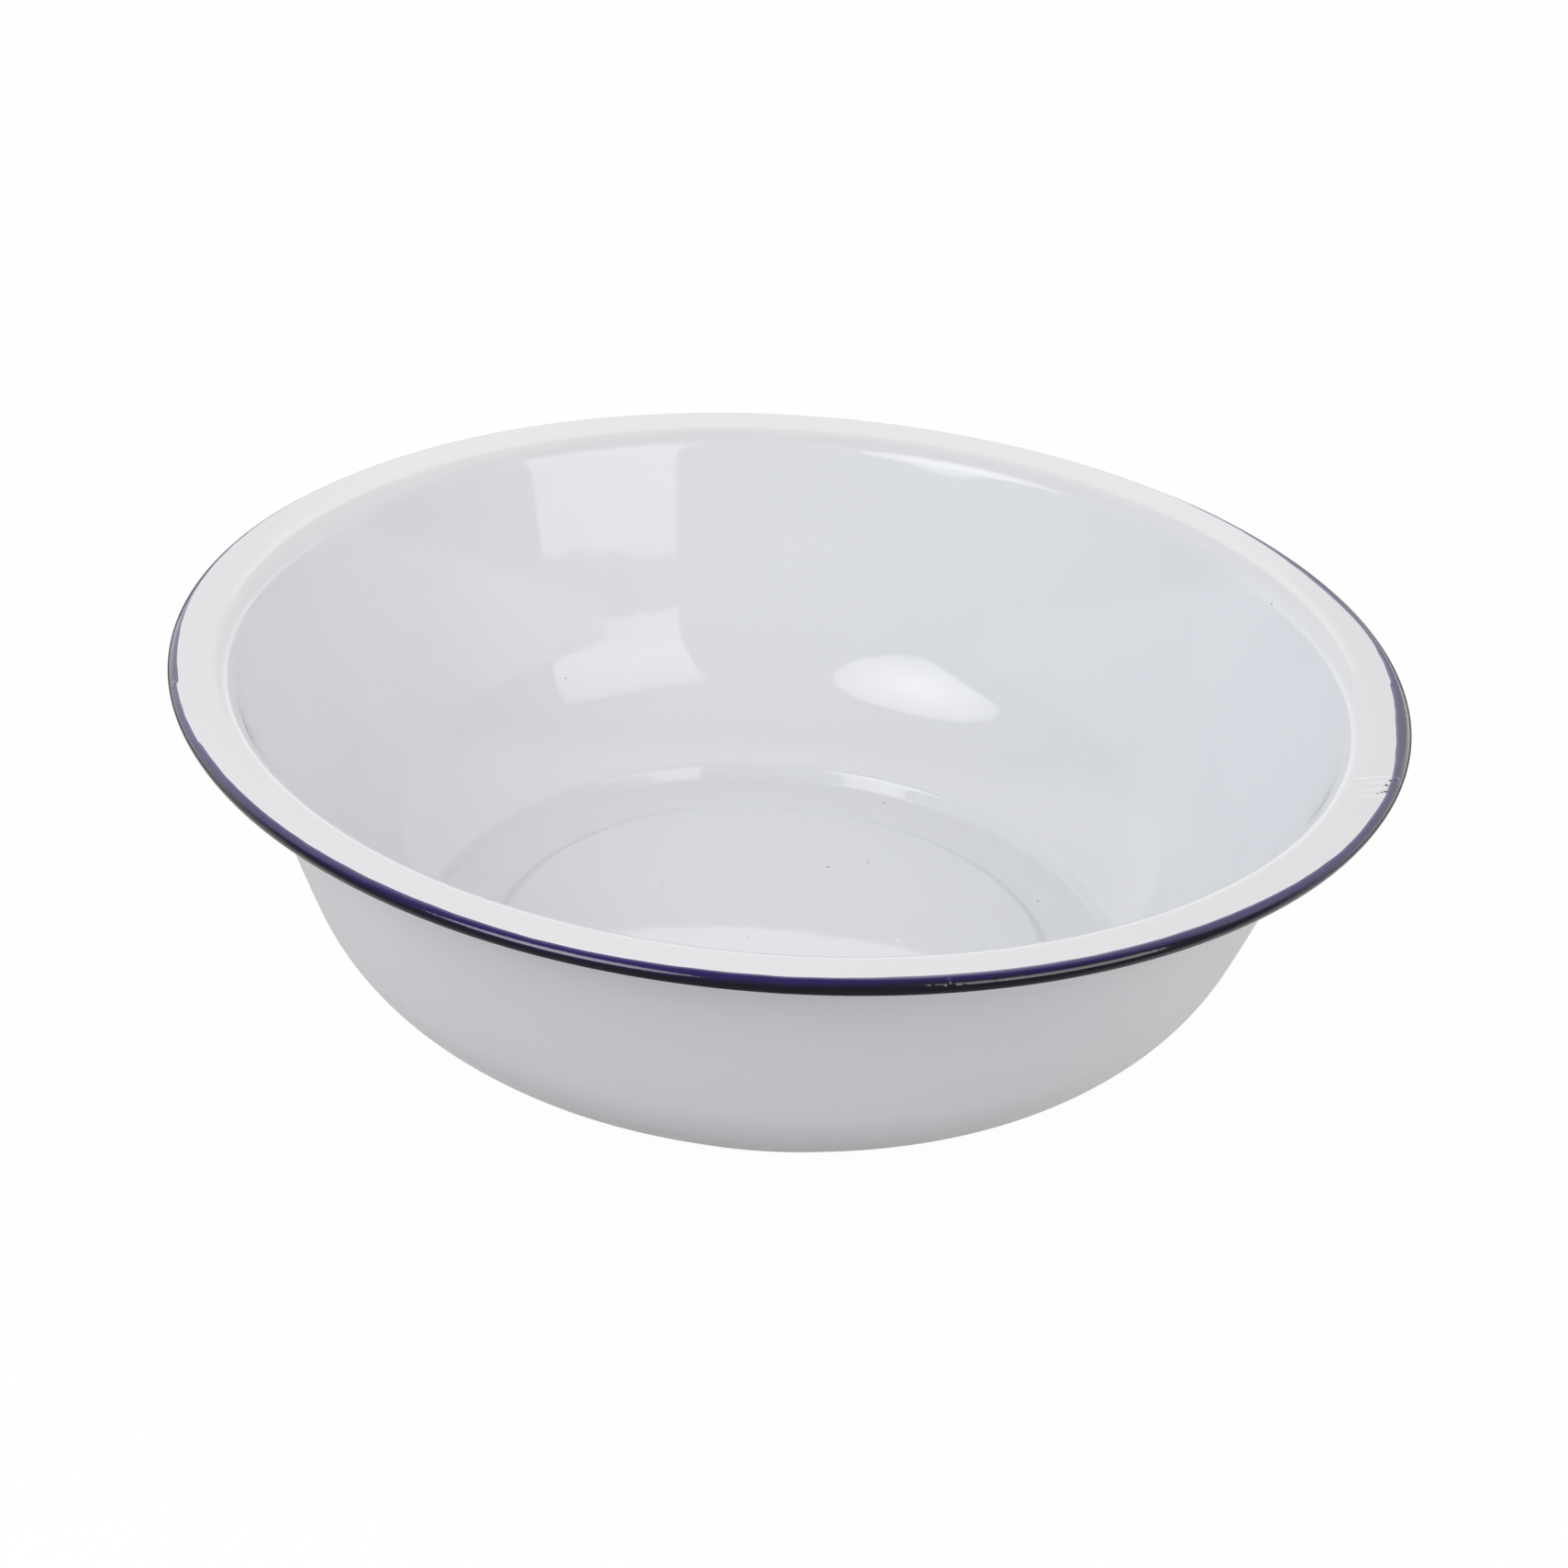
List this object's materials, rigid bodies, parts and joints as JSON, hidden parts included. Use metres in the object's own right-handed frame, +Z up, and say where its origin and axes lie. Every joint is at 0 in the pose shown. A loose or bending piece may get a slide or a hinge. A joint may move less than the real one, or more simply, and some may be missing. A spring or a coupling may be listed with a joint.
{
  "type": "enamel basin",
  "caption": "Round steel basin with white enamel inside and out, a flat flange and a blue rolled rim, standing on a ring foot; holds water, washing or food.",
  "frame": {"origin": "centre of the base, on the surface that the basin stands on", "axes": "+Z up along the axis of the bowl; it is round, so X and Y are free"},
  "size_m": [0.3599, 0.36, 0.1045],
  "materials": {
    "steel": "plain drawn low-carbon sheet steel, all covered by enamel",
    "ground": "dark blue-black first coat of enamel, sealed under the cover coats",
    "white_inside": "glossy white vitreous enamel with slight ripple and a few dark specks",
    "white_outside": "glossy white vitreous enamel with slight ripple",
    "blue": "glossy cobalt blue vitreous enamel, brushed on with a slightly uneven edge"
  },
  "bodies": {
    "root": {"steel_shell": "steel", "ground_coat": "ground", "inside_enamel": "white_inside", "outside_enamel": "white_outside", "rim_enamel": "blue"}
  },
  "joints": []
}
